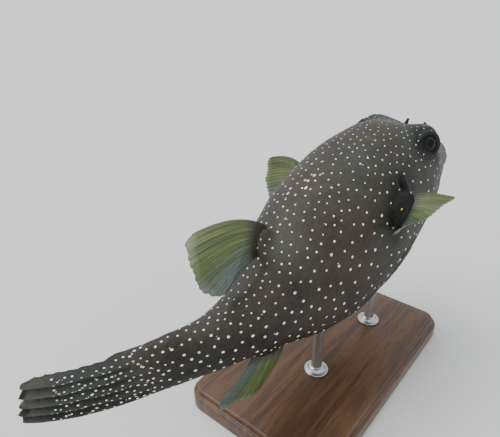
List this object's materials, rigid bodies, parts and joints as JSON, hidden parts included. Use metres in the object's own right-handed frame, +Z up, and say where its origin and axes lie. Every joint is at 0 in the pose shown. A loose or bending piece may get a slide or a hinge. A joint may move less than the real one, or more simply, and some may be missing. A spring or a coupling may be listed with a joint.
{
  "type": "guineafowl puffer fish model",
  "caption": "Life-size still model of a white-spotted dark reef pufferfish swimming nose up with its tail bent left, on rods from a flat display base",
  "frame": {"origin": "centre of the underside of the stand's flat base, on the surface it stands on", "axes": "+Z up; +X the way the fish's trunk points, along the base's length; +Y to the fish's left"},
  "size_m": [0.3416, 0.1549, 0.1913],
  "materials": {
    "skin": "cast resin painted as wet, finely prickled puffer skin: dark brown with white spots",
    "fin_membrane": "thin cast fin, olive green between fine dark rays, paler at the edge",
    "eye": "polished clear eye over a dark iris with a thin gold ring",
    "beak": "smooth ivory-coloured beak, worn at its edge",
    "stand_wood": "dark stained walnut with an oiled, satin surface",
    "stand_steel": "finely brushed steel rod"
  },
  "bodies": {
    "root": {"head": "skin", "trunk": "skin", "tail_stalk": "skin", "tail_fin": "skin", "dorsal_fin": "fin_membrane", "anal_fin": "fin_membrane", "pectoral_fin_right": "fin_membrane", "pectoral_fin_left": "fin_membrane", "eye_left": "eye", "eye_right": "eye", "nasal_tentacle_left": "skin", "nasal_tentacle_right": "skin", "beak_upper": "beak", "beak_lower": "beak", "stand_base": "stand_wood", "stand_rod_front": "stand_steel", "stand_rod_rear": "stand_steel"}
  },
  "joints": []
}
